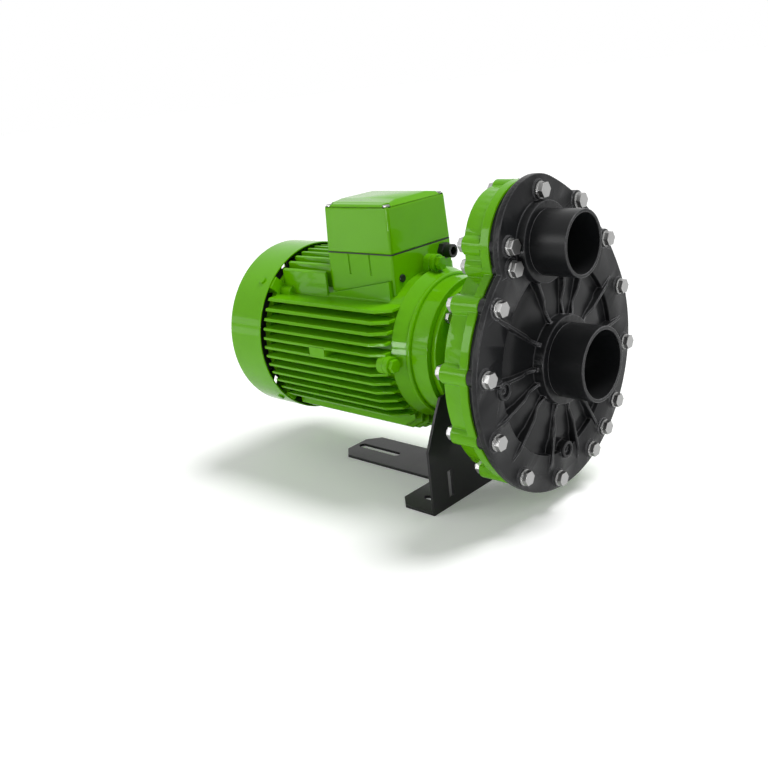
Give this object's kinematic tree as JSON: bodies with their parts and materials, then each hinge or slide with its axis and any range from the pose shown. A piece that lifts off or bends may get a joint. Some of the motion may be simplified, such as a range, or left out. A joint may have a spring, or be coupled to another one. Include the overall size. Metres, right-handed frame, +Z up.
{
  "type": "swim pump",
  "caption": "Close-coupled counter-current swim pump: finned green motor with terminal box, open lantern, bent-sheet foot and ribbed black casing with suction and outlet stubs in front.",
  "frame": {"origin": "on the floor, midway between the two front anchor slots of the foot", "axes": "+X along the shaft out of the suction mouth, +Y to the side away from the outlet, +Z up"},
  "size_m": [0.547, 0.328, 0.413],
  "materials": {
    "casing_black": "satin black fibre-filled moulding",
    "motor_green": "glossy bright green paint",
    "foot_black": "satin black powder coat on bent sheet",
    "zinc_steel": "zinc-plated steel",
    "shaft_steel": "ground stainless steel",
    "bearing_steel": "polished bearing steel",
    "core_steel": "stacked sheet steel",
    "cast_aluminium": "cast aluminium",
    "winding_copper": "enamelled copper wire bundle",
    "stud_brass": "plain brass",
    "black_rubber": "black rubber",
    "ring_plastic": "dark grey fibre-filled moulding",
    "fan_plastic": "black moulded fan plastic",
    "fitting_black": "black moulded fitting",
    "block_plastic": "brown moulded terminal block",
    "seat_ceramic": "off-white ceramic",
    "seal_carbon": "dark carbon"
  },
  "bodies": {
    "pump_body": {"front_casing": "casing_black", "suction_pipe": "casing_black", "outlet_pipe": "casing_black", "rear_casing": "motor_green", "casing_seal": "black_rubber", "casing_bolts": "zinc_steel", "casing_nuts": "zinc_steel", "drain_plugs": "casing_black", "throat_ring": "ring_plastic", "seal_seat": "seat_ceramic", "lantern": "motor_green", "lantern_screws": "zinc_steel", "flange_screws": "zinc_steel", "foot_screws": "zinc_steel", "foot_bracket": "foot_black", "drive_bearing_outer_race": "bearing_steel", "tail_bearing_outer_race": "bearing_steel", "wave_washer": "bearing_steel", "lip_seal": "black_rubber", "drive_end_shield": "motor_green", "shield_bolts": "motor_green", "motor_housing": "motor_green", "stator_core": "core_steel", "stator_windings": "winding_copper", "tail_shield": "motor_green", "tail_screws": "zinc_steel", "fan_cowl": "motor_green", "cowl_screws": "motor_green", "terminal_box": "motor_green", "lid_gasket": "black_rubber", "terminal_lid": "motor_green", "lid_screws": "zinc_steel", "terminal_block": "block_plastic", "terminal_studs": "stud_brass", "terminal_links": "stud_brass", "cable_gland": "fitting_black", "entry_plug": "fitting_black", "earth_screw": "stud_brass"},
    "rotor": {"pump_shaft": "shaft_steel", "impeller": "ring_plastic", "impeller_nut": "shaft_steel", "impeller_key": "shaft_steel", "seal_head": "seal_carbon", "seal_bellows": "black_rubber", "slinger_ring": "black_rubber", "drive_bearing_inner_race": "bearing_steel", "tail_bearing_inner_race": "bearing_steel", "rotor_core": "core_steel", "rotor_end_rings": "cast_aluminium", "cooling_fan": "fan_plastic"},
    "drive_balls": {"drive_bearing_balls": "bearing_steel"},
    "tail_balls": {"tail_bearing_balls": "bearing_steel"}
  },
  "joints": [
    {"name": "rotor_spin", "type": "hinge", "parent": "pump_body", "child": "rotor", "pos_m": [0, 0, 0.19], "axis": [1, 0, 0], "continuous": true},
    {"name": "drive_balls_spin", "type": "hinge", "parent": "pump_body", "child": "drive_balls", "pos_m": [-0.0135, 0, 0.19], "axis": [1, 0, 0], "continuous": true},
    {"name": "tail_balls_spin", "type": "hinge", "parent": "pump_body", "child": "tail_balls", "pos_m": [-0.252, 0, 0.19], "axis": [1, 0, 0], "continuous": true}
  ],
  "couplings": [
    {"joint": "drive_balls_spin", "follows": "rotor_spin", "ratio": 0.3824},
    {"joint": "tail_balls_spin", "follows": "rotor_spin", "ratio": 0.3961}
  ]
}
